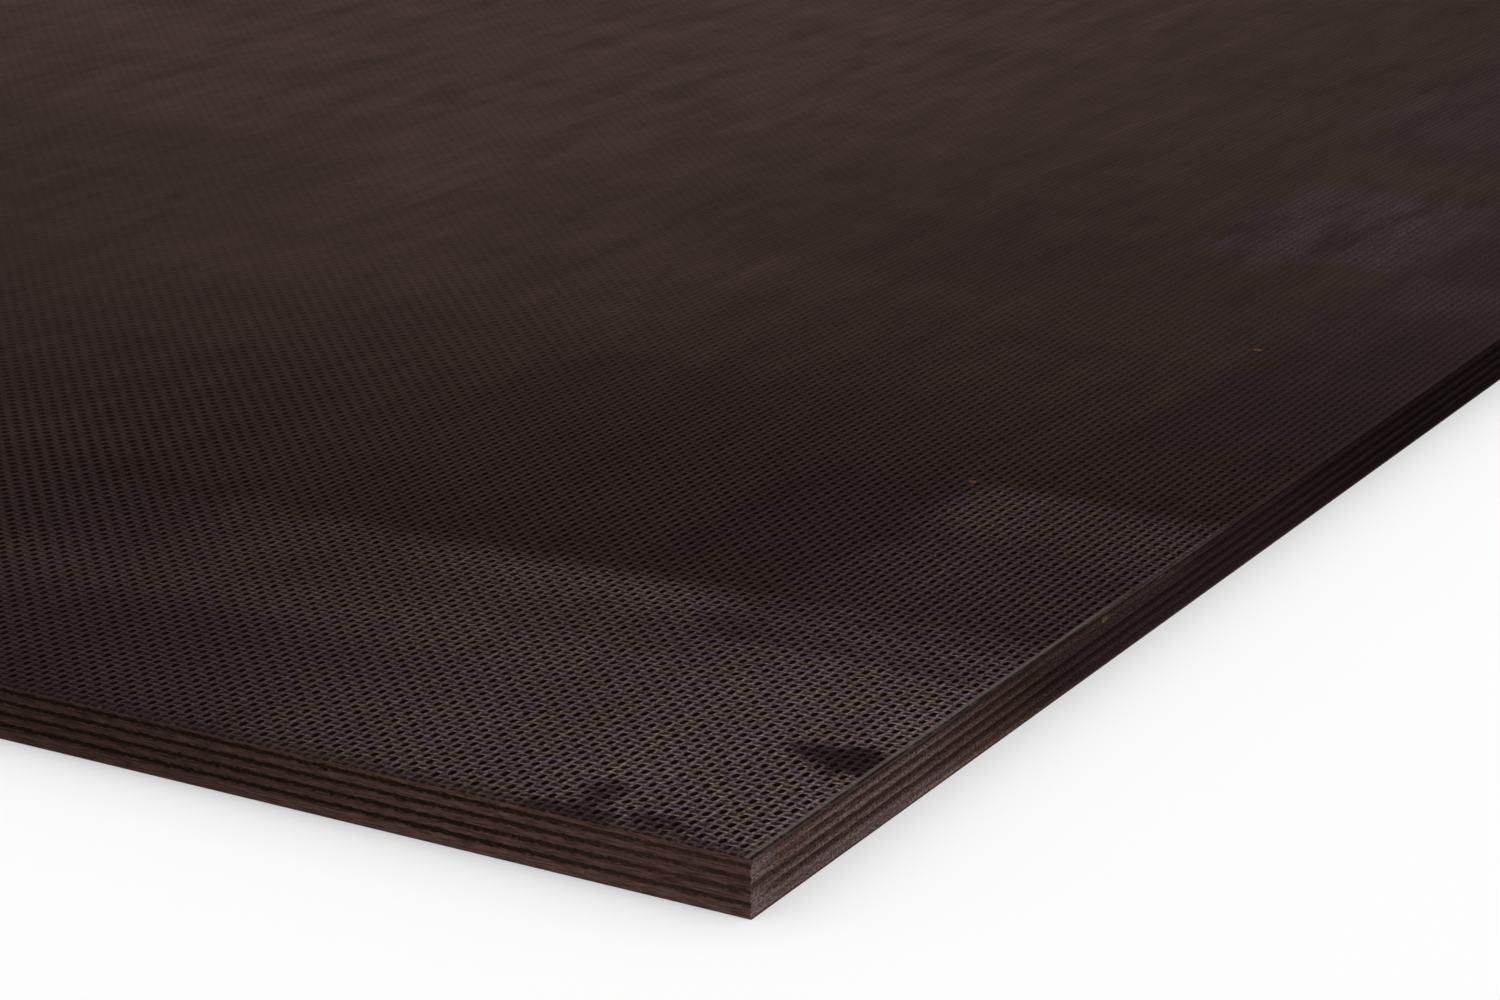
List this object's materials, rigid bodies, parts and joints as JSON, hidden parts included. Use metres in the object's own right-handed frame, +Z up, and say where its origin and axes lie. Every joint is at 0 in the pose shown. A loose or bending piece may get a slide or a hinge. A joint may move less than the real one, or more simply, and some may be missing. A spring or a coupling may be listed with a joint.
{
  "type": "mesh-faced plywood sheet",
  "caption": "Flat film-faced plywood sheet: veneers glued crosswise between a smooth bottom film and a top film with a pressed wire-mesh grip pattern, edges sawn and painted.",
  "frame": {"origin": "on the underside, under the middle of the sheet", "axes": "+X along the length and the face grain, +Y across the width, +Z up out of the mesh face"},
  "size_m": [2.5, 1.25, 0.012],
  "materials": {
    "mesh_film": "dark brown phenolic film, satin, pressed with a woven wire mesh",
    "smooth_film": "dark brown phenolic film, smooth, semi-gloss",
    "long_grain_veneer": "birch veneer, edges sealed with brown paint",
    "cross_grain_veneer": "birch veneer, edges sealed with brown paint"
  },
  "bodies": {
    "root": {"smooth_film": "smooth_film", "bottom_face_veneer": "long_grain_veneer", "bottom_cross_veneer": "cross_grain_veneer", "lower_long_veneer": "long_grain_veneer", "lower_cross_veneer": "cross_grain_veneer", "core_veneer": "long_grain_veneer", "upper_cross_veneer": "cross_grain_veneer", "upper_long_veneer": "long_grain_veneer", "top_cross_veneer": "cross_grain_veneer", "top_face_veneer": "long_grain_veneer", "mesh_film": "mesh_film"}
  },
  "joints": []
}
